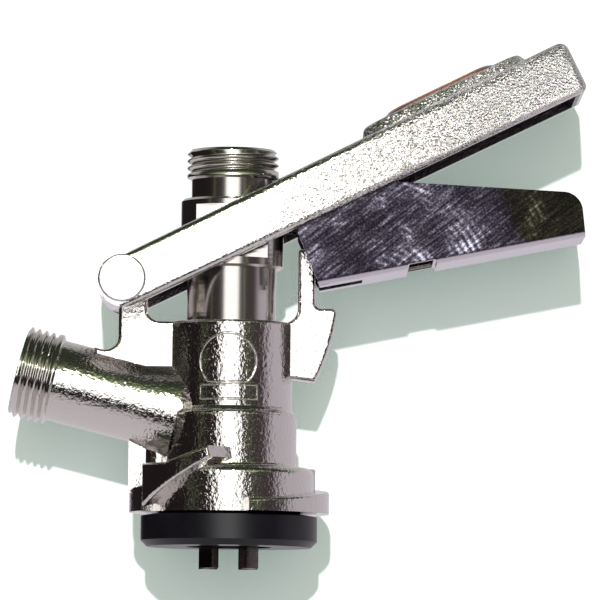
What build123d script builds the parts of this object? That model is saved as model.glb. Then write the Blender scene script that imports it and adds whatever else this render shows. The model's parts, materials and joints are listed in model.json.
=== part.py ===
"""Keg coupler, D pattern, in millimetres.

Frame: +Z runs up the probe, +X points along the lever to its free end, -X is the side of the
gas inlet.  The origin is on the probe's axis, in the flat underside of the body seal.
The lever is drawn raised, as it stands before the keg is opened.
"""
from build123d import *
from math import acos, atan2, cos, degrees, radians, sin, sqrt, tan
import os

# ---------------------------------------------------------------- shared clearances
RUN_CLEARANCE = 0.05            # radial clearance of every turning or sliding fit
SIDE_CLEARANCE = 0.3            # gap beside parts that pass each other
SOFT_CLEARANCE = 0.05           # gap between a rubber ring and the shaft in it

# ---------------------------------------------------------------- threaded connections
THREAD_R = 11.455               # G 5/8: 22.911 mm over the crests
THREAD_CHAMFER = 1.1

# ---------------------------------------------------------------- body seal
SEAL_R = 22.0
SEAL_HEIGHT = 8.4
SEAL_BORE_R = 10.7
SEAL_RIM_DROP = 0.8             # the rim stands clear of the flange
SEAL_FLAT_R = 17.5              # the seal meets the flange inside this radius
SEAL_CHAMFER = 1.5
SEAL_SPIGOT_R = 15.2            # upper lip, held in the flange's groove
SEAL_SPIGOT_HEIGHT = 3.0

# ---------------------------------------------------------------- body casting, turned zone
FLANGE_R = 21.0
FLANGE_TOP = 19.8
FLANGE_ROUND = 2.0
WAIST_R = 16.6
WAIST_TOP = 33.0
BARREL_R = 15.4
BARREL_TOP = 56.0
BARREL_ROUND = 0.8
CAST_ROUND = 0.8
CHAMBER_R = 13.2                # gas space round the probe
CHAMBER_TOP = 38.0
CHAMBER_SHOULDER = 2.0

# ---------------------------------------------------------------- bayonet lugs
LUG_R = 24.9
LUG_START = 12.0                # degrees round from the front, towards +X
LUG_END = 120.0
LUG_MID_TOP = 13.35             # height of the ramp on the probe's axis
LUG_RAMP_X = 0.030              # rise per mm along X
LUG_RAMP_Y = 0.088              # rise per mm along Y
STOP_START = -60.0
STOP_END = -11.0
STOP_LOW = 9.3
STOP_HIGH = 21.5
STOP_SHELF = 20.2
STOP_SHELF_END = -40.0          # degrees round from the front
STOP_PEAK = 24.2
STOP_PEAK_LEAN = 0.5
STOP_ROUND = 0.7

# ---------------------------------------------------------------- gas inlet
INLET_RISE = 14.0               # degrees above level
INLET_AXIS_Z = 30.3             # where its axis meets the probe's
INLET_LENGTH = 54.5
INLET_R = 10.2
INLET_THREAD = 9.5
INLET_MOUTH_R = 8.2
INLET_MOUTH_DEPTH = 7.8
INLET_PASSAGE_R = 4.5
INLET_SADDLE_R = 12.6           # thickened root where the pipe meets the body
INLET_SADDLE_END = 24.0

# ---------------------------------------------------------------- rib under the inlet
RIB_OUTER_X = -25.2
RIB_HALF = 2.6
RIB_POST_X = -17.6
RIB_POST_R = 4.2

# ---------------------------------------------------------------- hinge ear and hub
HINGE_X = -27.0
HINGE_Z = 65.7
HUB_R = 6.7
EAR_HALF = 5.0
EAR_LEFT = -28.0
EAR_RIGHT = -20.9
EAR_FILLET = 3.0
EAR_OUTER_FILLET = 3.5
EAR_ROUND = 0.9

# ---------------------------------------------------------------- latch quadrant ear
QUADRANT_HALF = 4.0
QUADRANT_INNER_X = 16.6
QUADRANT_TONGUE_X = 21.0
QUADRANT_TOP = 74.5
QUADRANT_STEP_Z = 59.6
QUADRANT_R = 53.9               # about the hinge
QUADRANT_LOW = 41.3
QUADRANT_LOW_RISE = 2.5         # its underside climbs towards the barrel
QUADRANT_FILLET = 3.5
QUADRANT_STEP_FILLET = 1.4
QUADRANT_TOP_FILLET = 1.0

# ---------------------------------------------------------------- probe
PROBE_R = 11.15
PROBE_STROKE_ARM = 28.5         # hinge to drive boss
PROBE_TOP = 99.3
PROBE_THREAD_LENGTH = 7.1
PROBE_NECK_R = 10.3
PROBE_NECK_TAPER = 0.5
COLLAR_R = 12.85
COLLAR_TOP = 86.8
COLLAR_LOW = 69.4
COLLAR_CHAMFER = 0.6
COLLAR_FLAT = 9.25              # half width across the milled flats
PROBE_SHANK_LOW = 36.0
TUBE_R = 8.2
BEER_BORE_R = 4.4
PROBE_SHOULDER_TAPER = 2.6

# ---------------------------------------------------------------- probe tip
WASHER_R = 10.4
WASHER_LOW = 2.0
WASHER_HIGH = 6.5
WASHER_ROUND = 1.4
NOSE_R = 8.5
NOSE_TIP = -5.4
NOSE_SPIGOT_R = 6.2
NOSE_SPIGOT_TOP = 11.0
NOSE_BORE_R = 4.0
NOSE_RING_R = 0.6
NOSE_RING_Z = 8.6
PRONG_COUNT = 4
PRONG_WIDTH = 4.3
PRONG_ROOT = 0.6
PRONG_FOOT = 0.5
PRONG_OFFSET = 47.0             # first prong, degrees from +X

# ---------------------------------------------------------------- beer check
BALL_R = 4.5
BALL_SEAT_TOP = 14.0
BALL_SEAT_BORE_R = 3.1
BALL_CHAMBER_R = 6.2
BALL_LIFT = 3.0
BALL_PLAY = 0.02                # the ball's gap over its seat
BALL_PIN_R = 0.8
BALL_PIN_INSET = 0.3

# ---------------------------------------------------------------- O-rings round the probe
RING_SECTION_R = 1.3
RING_GROOVE_PLAY = 0.3
RING_HEIGHTS = {"lower_probe_o_ring": 43.2, "upper_probe_o_ring": 50.4}

# ---------------------------------------------------------------- gas check valve
CHECK_FLANGE_R = 7.4            # its pocket, at the bottom of the mouth
CHECK_FLANGE = 1.8
CHECK_SLEEVE_R = 6.0
CHECK_LIP_LENGTH = 9.0
CHECK_LIP_WIDTH = 9.6
CHECK_WALL = 0.9
CHECK_SLIT = 0.4
RETAINER_HEIGHT = 2.4
RETAINER_BORE_R = 5.2
RETAINER_CHAMFER = 0.5

# ---------------------------------------------------------------- lever
LEVER_RISE = 26.4               # degrees above level when raised
LEVER_LENGTH = 124.7            # hinge to free end
LEVER_HALF = 17.0
LEVER_WALL = 3.4
LEVER_ROOF = 3.0
LEVER_TOP_ROOT = 5.2            # roof's height over the hinge line, at the hinge
LEVER_TOP_END = 5.9
LEVER_LOW_ROOT = 7.2            # cheek's depth under the hinge line, at the hinge
LEVER_LOW_END = 7.9
LEVER_ROUND_ROOT = 1.2          # rounding of the upper edges, growing to the free end
LEVER_ROUND_END = 3.2
LEVER_LOW_ROUND = 1.6
LEVER_END_ROUND = 3.0
LEVER_END_ROUND_LOW = 2.0
LEVER_NOSE_ROUND = 5.0
FORK_END = 62.5
FORK_ROUND = 4.0
DRIVE_BOSS_R = 6.3
DRIVE_BOSS_GAP = 0.35           # boss face to milled flat

# ---------------------------------------------------------------- thumb rest and badge on the lever
REST_INSET = 32.7               # its middle to the lever's free end
REST_LENGTH = 46.0
REST_WIDTH = 24.0
REST_HEIGHT = 2.7
REST_TAPER = 30.0               # degrees
REST_ROUND = 1.4
REST_CORNER = 7.0
BADGE_LENGTH = 32.0
BADGE_WIDTH = 14.0
BADGE_DEPTH = 1.0
BADGE_STAND = 0.4
BADGE_FIT = 0.15

# ---------------------------------------------------------------- hinge pin and its clip
PIN_R = 4.0
PIN_HEAD_R = 5.9
PIN_HEAD_HEIGHT = 0.9
PIN_HEAD_ROUND = 0.5
PIN_TAIL = 2.2
PIN_CHAMFER = 0.4
PIN_WASHER_R = 6.4
PIN_WASHER_THICKNESS = 0.6
CLIP_R = 6.0
CLIP_THICKNESS = 0.8
CLIP_GROOVE = 0.6
CLIP_TOOTH = 2.6

# ---------------------------------------------------------------- latch
LATCH_ARM = 54.0                # hinge to latch pivot, along the lever
LATCH_PIN_R = 2.0
LATCH_PIN_GRIP = 2.2            # depth of its blind hole in the front cheek
LATCH_HALF = 13.1
LATCH_SHEET = 1.2
LATCH_BEND_R = 1.6
LATCH_LOBE_R = 5.0              # round the pivot
LATCH_CHIN_Z = -12.0            # places on the side wall, from the pivot
LATCH_FLOOR_X = 0.6
LATCH_FLOOR_Z = -25.0
LATCH_FLOOR_RISE = 11.2         # degrees
LATCH_END_X = 66.4
LATCH_END_LEAN = 1.2
LATCH_END_TOP = -1.2
LATCH_END_ROUND = 5.0
LATCH_TOP_X = 20.6
LATCH_TOP_Z = 1.0
LATCH_RELIEF_HALF = 4.9
LATCH_RELIEF_GAP = 0.7
LATCH_WINDOW = 7.3
LATCH_WINDOW_RISE = 1.2
LATCH_WINDOW_X = 47.4

# ---------------------------------------------------------------- latch spring
SPRING_WIRE_R = 0.7
SPRING_COIL_R = 3.2
SPRING_TURNS = 3
SPRING_TURN_GAP = 0.15
SPRING_INNER_Y = 3.6
SPRING_BRIDGE_ARM = 16.0
SPRING_BEND_R = 1.5

# ---------------------------------------------------------------- worked out from the sizes above
hinge = Vector(HINGE_X, 0, HINGE_Z)
lever_dir = Vector(cos(radians(LEVER_RISE)), 0, sin(radians(LEVER_RISE)))
lever_side = Plane(origin=hinge, x_dir=lever_dir, z_dir=(0, -1, 0))
lever_inner = LEVER_HALF - LEVER_WALL
lever_start = -2 * LEVER_TOP_ROOT
lever_top_slope = (LEVER_TOP_END - LEVER_TOP_ROOT) / LEVER_LENGTH
lever_low_slope = (LEVER_LOW_END - LEVER_LOW_ROOT) / LEVER_LENGTH
rest_middle = LEVER_LENGTH - REST_INSET
rest_foot = lever_side.from_local_coords(
    Vector(rest_middle, LEVER_TOP_ROOT + rest_middle * lever_top_slope, 0)
)
rest_plane = Plane(origin=rest_foot, x_dir=lever_dir, z_dir=lever_side.y_dir)
badge_floor = rest_plane.offset(REST_HEIGHT - BADGE_DEPTH)
latch_pivot = hinge + lever_dir * LATCH_ARM
latch_pin_end = lever_side.offset(lever_inner + LATCH_PIN_GRIP)
clip_plane = lever_side.offset(-LEVER_HALF - PIN_WASHER_THICKNESS)
latch_side = Plane(origin=latch_pivot, x_dir=(1, 0, 0), z_dir=(0, -1, 0))
boss_z = HINGE_Z + PROBE_STROKE_ARM * sin(radians(LEVER_RISE))
latch_slope = radians(LATCH_FLOOR_RISE)
latch_floor_dir = Vector(cos(latch_slope), 0, sin(latch_slope))
inlet_dir = Vector(-cos(radians(INLET_RISE)), 0, sin(radians(INLET_RISE)))
inlet_axis = Plane(origin=(0, 0, INLET_AXIS_Z), x_dir=(0, 1, 0), z_dir=inlet_dir)
check_seat = INLET_LENGTH - INLET_MOUTH_DEPTH - RETAINER_HEIGHT - CHECK_FLANGE
body_bore_r = PROBE_R + RUN_CLEARANCE
ball_z = BALL_SEAT_TOP + sqrt(BALL_R**2 - BALL_SEAT_BORE_R**2)
ball_pin_z = ball_z + BALL_R + BALL_LIFT + BALL_PIN_R


def latch_floor_z(x):
    """Height of the latch's underside, from its pivot."""
    return LATCH_FLOOR_Z + (x - LATCH_FLOOR_X) * tan(latch_slope)


def side_plate(points, half, edge_round, arcs=(), corner_rounds=()):
    """A cast plate lying in the XZ plane, with rounded rims.

    arcs replaces the straight side that starts at the numbered point by an arc through the given
    middle point; corner_rounds gives a radius to the corner nearest each given point.
    """
    middle = dict(arcs)
    with BuildPart() as plate:
        with BuildSketch(Plane.XZ) as outline:
            with BuildLine():
                for i, start in enumerate(points):
                    end = points[(i + 1) % len(points)]
                    if i in middle:
                        ThreePointArc(start, middle[i], end)
                    else:
                        Line(start, end)
            make_face()
            for corner, radius in corner_rounds:
                nearest = outline.vertices().sort_by_distance(Vector(*corner))[0]
                fillet(nearest, radius)
        extrude(amount=half, both=True)
        rims = plate.faces().filter_by(Axis.Y).edges()
        fillet(rims, edge_round)
    return plate.part


# ================================================================ body seal
def make_body_seal():
    with BuildPart() as body_seal:
        with BuildSketch(Plane.XZ) as section:
            with BuildLine():
                Polyline(
                    (SEAL_BORE_R, 0),
                    (SEAL_R - SEAL_CHAMFER, 0),
                    (SEAL_R, SEAL_CHAMFER),
                    (SEAL_R, SEAL_HEIGHT - SEAL_RIM_DROP),
                    (SEAL_FLAT_R, SEAL_HEIGHT),
                    (SEAL_SPIGOT_R, SEAL_HEIGHT),
                    (SEAL_SPIGOT_R, SEAL_HEIGHT + SEAL_SPIGOT_HEIGHT),
                    (CHAMBER_R, SEAL_HEIGHT + SEAL_SPIGOT_HEIGHT),
                    (CHAMBER_R, SEAL_HEIGHT),
                    (SEAL_BORE_R + SEAL_CHAMFER, SEAL_HEIGHT - SEAL_CHAMFER),
                    (SEAL_BORE_R, SEAL_HEIGHT - 2 * SEAL_CHAMFER),
                    close=True,
                )
            make_face()
        revolve(axis=Axis.Z)
    return body_seal.part


# ================================================================ body casting
def turned_body():
    with BuildPart() as core:
        with BuildSketch(Plane.XZ) as section:
            with BuildLine():
                Polyline(
                    (0, SEAL_HEIGHT),
                    (FLANGE_R, SEAL_HEIGHT),
                    (FLANGE_R, FLANGE_TOP),
                    (WAIST_R, FLANGE_TOP),
                    (WAIST_R, WAIST_TOP),
                    (BARREL_R, WAIST_TOP),
                    (BARREL_R, BARREL_TOP),
                    (0, BARREL_TOP),
                    close=True,
                )
            make_face()
            corner = section.vertices().sort_by_distance(Vector(FLANGE_R, FLANGE_TOP))[0]
            fillet(corner, FLANGE_ROUND)
            corner = section.vertices().sort_by_distance(Vector(BARREL_R, BARREL_TOP))[0]
            fillet(corner, BARREL_ROUND)
            corner = section.vertices().sort_by_distance(Vector(WAIST_R, FLANGE_TOP))[0]
            fillet(corner, CAST_ROUND)
        revolve(axis=Axis.Z)
    return core.part


def bayonet_lug():
    """One bayonet wing: a ring sector whose top climbs as a slanting plane."""
    height = FLANGE_TOP - SEAL_HEIGHT
    reach = 2 * LUG_R
    with BuildPart() as lug:
        with BuildSketch(Plane.XY.offset(SEAL_HEIGHT)):
            Circle(LUG_R)
            with BuildLine():
                Polyline(
                    (0, 0),
                    *[
                        (reach * sin(radians(angle)), -reach * cos(radians(angle)))
                        for angle in (LUG_START, (LUG_START + LUG_END) / 2, LUG_END)
                    ],
                    close=True,
                )
            make_face(mode=Mode.INTERSECT)
        extrude(amount=height)
        ramp = Plane(origin=(0, 0, LUG_MID_TOP), z_dir=(-LUG_RAMP_X, -LUG_RAMP_Y, 1))
        split(bisect_by=ramp, keep=Keep.BOTTOM)
        outer = lug.edges().filter_by(GeomType.CIRCLE, reverse=True).sort_by(SortBy.LENGTH)[-1]
        fillet(outer, CAST_ROUND)
    return lug.part


def bayonet_stop():
    """The stop behind each wing: a block with a slanting underside that starts the keg's lug."""
    middle = radians((STOP_START + STOP_END) / 2)
    outward = Vector(sin(middle), -cos(middle), 0)
    along = Vector(cos(middle), sin(middle), 0)
    half = LUG_R * sin(radians((STOP_END - STOP_START) / 2))
    shelf_end = LUG_R * sin(radians(STOP_SHELF_END) - middle)
    with BuildPart() as stop:
        with BuildSketch(Plane(origin=outward * CHAMBER_R, x_dir=along, z_dir=outward)):
            with BuildLine():
                Polyline(
                    (-half, STOP_LOW),
                    (half, STOP_HIGH),
                    (half - STOP_PEAK_LEAN, STOP_PEAK),
                    (shelf_end, STOP_SHELF),
                    (-half, STOP_SHELF),
                    close=True,
                )
            make_face()
        extrude(amount=LUG_R)
        Cylinder(LUG_R, 4 * STOP_PEAK, mode=Mode.INTERSECT)
        rim = stop.faces().filter_by(GeomType.CYLINDER).sort_by(SortBy.AREA)[-1].edges()
        fillet(rim, STOP_ROUND)
    return stop.part


def hinge_ear():
    slope = tan(radians(INLET_RISE))
    pipe_top = INLET_AXIS_Z - EAR_LEFT * slope + INLET_R / cos(radians(INLET_RISE))
    return side_plate(
        [
            (EAR_LEFT, HINGE_Z),
            (EAR_LEFT, pipe_top),
            (EAR_LEFT - 2 * EAR_FILLET, pipe_top + 2 * EAR_FILLET * slope),
            (EAR_LEFT - 2 * EAR_FILLET, pipe_top - INLET_R),
            (0, INLET_AXIS_Z),
            (0, BARREL_TOP),
            (EAR_RIGHT, BARREL_TOP),
            (EAR_RIGHT, HINGE_Z),
        ],
        EAR_HALF,
        EAR_ROUND,
        corner_rounds=[
            ((EAR_LEFT, pipe_top), EAR_OUTER_FILLET),
            ((EAR_RIGHT, BARREL_TOP), EAR_FILLET),
        ],
    )


def latch_quadrant():
    """The toothed ear that the latch rides on, with its arc struck from the hinge."""

    def on_arc(z):
        return (HINGE_X + sqrt(QUADRANT_R**2 - (HINGE_Z - z) ** 2), z)

    return side_plate(
        [
            (0, BARREL_TOP),
            (QUADRANT_INNER_X, BARREL_TOP),
            (QUADRANT_INNER_X, QUADRANT_TOP),
            (QUADRANT_TONGUE_X, QUADRANT_TOP),
            (QUADRANT_TONGUE_X, QUADRANT_STEP_Z),
            on_arc(QUADRANT_STEP_Z),
            on_arc(QUADRANT_LOW),
            (0, QUADRANT_LOW + QUADRANT_LOW_RISE),
        ],
        QUADRANT_HALF,
        EAR_ROUND,
        arcs=[(5, on_arc((QUADRANT_STEP_Z + QUADRANT_LOW) / 2))],
        corner_rounds=[
            ((QUADRANT_INNER_X, BARREL_TOP), QUADRANT_FILLET),
            ((QUADRANT_TONGUE_X, QUADRANT_STEP_Z), QUADRANT_STEP_FILLET),
            (on_arc(QUADRANT_STEP_Z), QUADRANT_STEP_FILLET),
            ((QUADRANT_INNER_X, QUADRANT_TOP), QUADRANT_TOP_FILLET),
            ((QUADRANT_TONGUE_X, QUADRANT_TOP), QUADRANT_TOP_FILLET),
        ],
    )


def make_body_casting():
    core = turned_body()
    lug = bayonet_lug()
    stop = bayonet_stop()
    ear = hinge_ear()
    quadrant = latch_quadrant()
    with BuildPart() as body_casting:
        add(core)
        with PolarLocations(0, 2):
            add(lug)
            add(stop)
        add(ear)
        add(quadrant)
        # hinge hub, filling the lever's fork
        with BuildSketch(lever_side):
            Circle(HUB_R)
        extrude(amount=lever_inner - SIDE_CLEARANCE, both=True)
        # gas inlet: saddle, pipe and threaded end
        with BuildSketch(inlet_axis):
            Circle(INLET_R)
        extrude(amount=INLET_LENGTH - INLET_THREAD / 2)
        with BuildSketch(inlet_axis.offset(CHAMBER_R)):
            Circle(INLET_SADDLE_R)
        with BuildSketch(inlet_axis.offset(INLET_SADDLE_END)):
            Circle(INLET_R)
        loft()
        with BuildSketch(inlet_axis.offset(INLET_LENGTH - INLET_THREAD)):
            Circle(THREAD_R)
        extrude(amount=INLET_THREAD)
        thread_rims = body_casting.edges().filter_by(GeomType.CIRCLE).filter_by(
            lambda edge: abs(edge.radius - THREAD_R) < 1e-6
        )
        chamfer(thread_rims, THREAD_CHAMFER / 2, THREAD_CHAMFER)
        # rib and post between the inlet and the wing under it
        rib_low = LUG_MID_TOP + LUG_RAMP_X * -RIB_OUTER_X - 1
        with BuildSketch(Plane.XZ):
            with BuildLine():
                Polyline(
                    (RIB_OUTER_X, rib_low),
                    (RIB_OUTER_X, INLET_AXIS_Z),
                    (-CHAMBER_R, INLET_AXIS_Z),
                    (-CHAMBER_R, rib_low),
                    close=True,
                )
            make_face()
        extrude(amount=RIB_HALF, both=True)
        with BuildSketch(Plane.XY.offset(FLANGE_TOP - FLANGE_ROUND)):
            with Locations((RIB_POST_X, 0)):
                Circle(RIB_POST_R)
        extrude(amount=INLET_AXIS_Z - FLANGE_TOP)
        # bore for the probe, gas chamber and groove for the seal's lip
        with BuildSketch(Plane.XZ):
            with BuildLine():
                Polyline(
                    (0, 0),
                    (SEAL_SPIGOT_R, 0),
                    (SEAL_SPIGOT_R, SEAL_HEIGHT + SEAL_SPIGOT_HEIGHT),
                    (CHAMBER_R, SEAL_HEIGHT + SEAL_SPIGOT_HEIGHT),
                    (CHAMBER_R, CHAMBER_TOP - CHAMBER_SHOULDER),
                    (body_bore_r, CHAMBER_TOP),
                    (body_bore_r, 2 * BARREL_TOP),
                    (0, 2 * BARREL_TOP),
                    close=True,
                )
            make_face()
        revolve(axis=Axis.Z, mode=Mode.SUBTRACT)
        # O-ring grooves
        for height in RING_HEIGHTS.values():
            with BuildSketch(Plane.XZ):
                with Locations((body_bore_r + RING_SECTION_R / 2, height)):
                    Rectangle(3 * RING_SECTION_R, 2 * RING_SECTION_R + RING_GROOVE_PLAY)
            revolve(axis=Axis.Z, mode=Mode.SUBTRACT)
        # gas passage, and the mouth that holds the check valve
        with BuildSketch(inlet_axis):
            Circle(INLET_PASSAGE_R)
        extrude(amount=INLET_LENGTH, mode=Mode.SUBTRACT)
        with BuildSketch(inlet_axis.offset(INLET_LENGTH - INLET_MOUTH_DEPTH)):
            Circle(INLET_MOUTH_R)
        extrude(amount=2 * INLET_MOUTH_DEPTH, mode=Mode.SUBTRACT)
        with BuildSketch(inlet_axis.offset(check_seat)):
            Circle(CHECK_FLANGE_R)
        extrude(amount=INLET_MOUTH_DEPTH, mode=Mode.SUBTRACT)
        with BuildSketch(inlet_axis.offset(check_seat - CHECK_LIP_LENGTH)):
            Circle(CHECK_SLEEVE_R)
        extrude(amount=2 * CHECK_LIP_LENGTH, mode=Mode.SUBTRACT)
        # hole for the hinge pin
        with BuildSketch(lever_side):
            Circle(PIN_R + RUN_CLEARANCE)
        extrude(amount=LEVER_HALF, both=True, mode=Mode.SUBTRACT)
    return body_casting.part


# ================================================================ O-rings round the probe
def make_probe_o_ring(height):
    with BuildPart() as o_ring:
        with BuildSketch(Plane.XZ):
            with Locations((PROBE_R + SOFT_CLEARANCE + RING_SECTION_R, height)):
                Circle(RING_SECTION_R)
        revolve(axis=Axis.Z)
    return o_ring.part


# ================================================================ gas check valve in the inlet
def make_gas_check_valve():
    """Rubber duckbill: a flange, a round sleeve and lips that close to a slit."""
    sleeve_r = CHECK_SLEEVE_R - SOFT_CLEARANCE
    lip_width = CHECK_LIP_WIDTH - 2 * CHECK_WALL
    with BuildPart() as gas_check_valve:
        with BuildSketch(inlet_axis.offset(check_seat)):
            Circle(CHECK_FLANGE_R - SOFT_CLEARANCE)
        extrude(amount=CHECK_FLANGE)
        with BuildSketch(inlet_axis.offset(check_seat)):
            Circle(sleeve_r)
        with BuildSketch(inlet_axis.offset(check_seat - CHECK_LIP_LENGTH + CHECK_WALL)):
            Rectangle(2 * (CHECK_WALL + CHECK_SLIT), CHECK_LIP_WIDTH)
        loft()
        with BuildSketch(inlet_axis.offset(check_seat + CHECK_FLANGE)):
            Circle(sleeve_r - CHECK_WALL)
        with BuildSketch(inlet_axis.offset(check_seat - CHECK_LIP_LENGTH)):
            Rectangle(CHECK_SLIT, lip_width)
        loft(mode=Mode.SUBTRACT)
    return gas_check_valve.part


def make_check_valve_retainer():
    with BuildPart() as check_valve_retainer:
        with BuildSketch(inlet_axis.offset(check_seat + CHECK_FLANGE)):
            Circle(CHECK_FLANGE_R)
            Circle(RETAINER_BORE_R, mode=Mode.SUBTRACT)
        extrude(amount=RETAINER_HEIGHT)
        bore_rims = check_valve_retainer.edges().filter_by(GeomType.CIRCLE).sort_by(SortBy.RADIUS)[:2]
        chamfer(bore_rims, RETAINER_CHAMFER)
    return check_valve_retainer.part


# ================================================================ probe
def make_probe_body():
    with BuildPart() as probe_body:
        with BuildSketch(Plane.XZ):
            with BuildLine():
                Polyline(
                    (BEER_BORE_R, PROBE_TOP),
                    (THREAD_R - THREAD_CHAMFER, PROBE_TOP),
                    (THREAD_R, PROBE_TOP - THREAD_CHAMFER),
                    (THREAD_R, PROBE_TOP - PROBE_THREAD_LENGTH),
                    (PROBE_NECK_R, PROBE_TOP - PROBE_THREAD_LENGTH - PROBE_NECK_TAPER),
                    (PROBE_NECK_R, COLLAR_TOP),
                    (COLLAR_R - COLLAR_CHAMFER, COLLAR_TOP),
                    (COLLAR_R, COLLAR_TOP - COLLAR_CHAMFER),
                    (COLLAR_R, COLLAR_LOW + COLLAR_CHAMFER),
                    (COLLAR_R - COLLAR_CHAMFER, COLLAR_LOW),
                    (PROBE_R, COLLAR_LOW),
                    (PROBE_R, PROBE_SHANK_LOW),
                    (TUBE_R, PROBE_SHANK_LOW - PROBE_SHOULDER_TAPER),
                    (TUBE_R, WASHER_HIGH),
                    (NOSE_SPIGOT_R, WASHER_HIGH),
                    (NOSE_SPIGOT_R, BALL_SEAT_TOP),
                    (BALL_CHAMBER_R, ball_pin_z + BALL_R),
                    (BEER_BORE_R, ball_pin_z + BALL_R + BALL_CHAMBER_R - BEER_BORE_R),
                    close=True,
                )
            make_face()
        revolve(axis=Axis.Z)
        # milled flats that the lever's bosses ride in
        flat_low = boss_z - DRIVE_BOSS_R - SIDE_CLEARANCE
        flat_high = boss_z + DRIVE_BOSS_R + SIDE_CLEARANCE
        for side in (-1, 1):
            with BuildSketch(Plane.XY.offset(flat_low)):
                with Locations((0, side * (COLLAR_FLAT + COLLAR_R / 2))):
                    Rectangle(3 * COLLAR_R, COLLAR_R)
            extrude(amount=flat_high - flat_low, mode=Mode.SUBTRACT)
        # hole for the ball's stop pin
        with BuildSketch(Plane.XZ):
            with Locations((0, ball_pin_z)):
                Circle(BALL_PIN_R)
        extrude(amount=2 * TUBE_R, both=True, mode=Mode.SUBTRACT)
    return probe_body.part


def make_probe_nose():
    """Screwed-in tip: a spigot, a flange under the washer and a crown of prongs."""
    with BuildPart() as probe_nose:
        with BuildSketch(Plane.XZ):
            with BuildLine():
                Polyline(
                    (NOSE_BORE_R, NOSE_SPIGOT_TOP),
                    (NOSE_SPIGOT_R, NOSE_SPIGOT_TOP),
                    (NOSE_SPIGOT_R, WASHER_LOW),
                    (NOSE_R, WASHER_LOW),
                    (NOSE_R, NOSE_TIP),
                    (NOSE_SPIGOT_R, NOSE_TIP),
                    (NOSE_SPIGOT_R, PRONG_ROOT),
                    (NOSE_BORE_R, PRONG_ROOT),
                    close=True,
                )
            make_face()
        revolve(axis=Axis.Z)
        # groove for the O-ring
        with BuildSketch(Plane.XZ):
            with Locations((NOSE_SPIGOT_R, NOSE_RING_Z)):
                Rectangle(4 * NOSE_RING_R, 2 * NOSE_RING_R + 2 * SOFT_CLEARANCE)
        revolve(axis=Axis.Z, mode=Mode.SUBTRACT)
        # gaps between the prongs
        with BuildSketch(Plane.XY.offset(NOSE_TIP - 1)):
            Circle(2 * NOSE_R)
            with PolarLocations(NOSE_R, PRONG_COUNT, start_angle=PRONG_OFFSET):
                Rectangle(2 * NOSE_R, PRONG_WIDTH, mode=Mode.SUBTRACT)
        extrude(amount=PRONG_ROOT - NOSE_TIP + 1, mode=Mode.SUBTRACT)
    return probe_nose.part


def make_nose_o_ring():
    with BuildPart() as nose_o_ring:
        with BuildSketch(Plane.XZ):
            with Locations((NOSE_SPIGOT_R - NOSE_RING_R, NOSE_RING_Z)):
                Circle(NOSE_RING_R - SOFT_CLEARANCE / 2)
        revolve(axis=Axis.Z)
    return nose_o_ring.part


def make_probe_washer():
    with BuildPart() as probe_washer:
        with BuildSketch(Plane.XZ) as section:
            with BuildLine():
                Polyline(
                    (NOSE_SPIGOT_R, WASHER_LOW),
                    (WASHER_R, WASHER_LOW),
                    (WASHER_R, WASHER_HIGH),
                    (NOSE_SPIGOT_R, WASHER_HIGH),
                    close=True,
                )
            make_face()
            rim = section.vertices().sort_by(Axis.X)[-2:]
            fillet(rim, WASHER_ROUND)
        revolve(axis=Axis.Z)
    return probe_washer.part


def make_ball_seat():
    with BuildPart() as ball_seat:
        with BuildSketch(Plane.XZ):
            with BuildLine():
                Polyline(
                    (NOSE_BORE_R, NOSE_SPIGOT_TOP),
                    (NOSE_SPIGOT_R, NOSE_SPIGOT_TOP),
                    (NOSE_SPIGOT_R, BALL_SEAT_TOP),
                    (BALL_SEAT_BORE_R, BALL_SEAT_TOP),
                    close=True,
                )
            make_face()
        revolve(axis=Axis.Z)
    return ball_seat.part


def make_ball_stop_pin():
    with BuildPart() as ball_stop_pin:
        with BuildSketch(Plane.XZ):
            with Locations((0, ball_pin_z)):
                Circle(BALL_PIN_R)
        extrude(amount=TUBE_R - BALL_PIN_INSET, both=True)
    return ball_stop_pin.part


def make_check_ball():
    with BuildPart() as check_ball:
        with Locations((0, 0, ball_z + BALL_PLAY)):
            Sphere(BALL_R)
    return check_ball.part


# ================================================================ lever
def lever_section(distance):
    """Outer section of the lever, square to its length, at that distance from the hinge."""
    top = LEVER_TOP_ROOT + distance * lever_top_slope
    low = LEVER_LOW_ROOT + distance * lever_low_slope
    growth = (LEVER_ROUND_END - LEVER_ROUND_ROOT) / (LEVER_LENGTH - lever_start)
    upper_round = LEVER_ROUND_ROOT + growth * (distance - lever_start)
    plane = Plane(
        origin=hinge + lever_dir * distance,
        x_dir=(0, 1, 0),
        z_dir=lever_dir,
    )
    with BuildSketch(plane) as section:
        with BuildLine():
            Polyline(
                (-LEVER_HALF, top),
                (LEVER_HALF, top),
                (LEVER_HALF, -low),
                (-LEVER_HALF, -low),
                close=True,
            )
        make_face()
        upper = section.vertices().group_by(Axis.Y)[-1]
        fillet(upper, upper_round)
        lower = section.vertices().group_by(Axis.Y)[0]
        fillet(lower, LEVER_LOW_ROUND)
    return section.sketch


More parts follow.
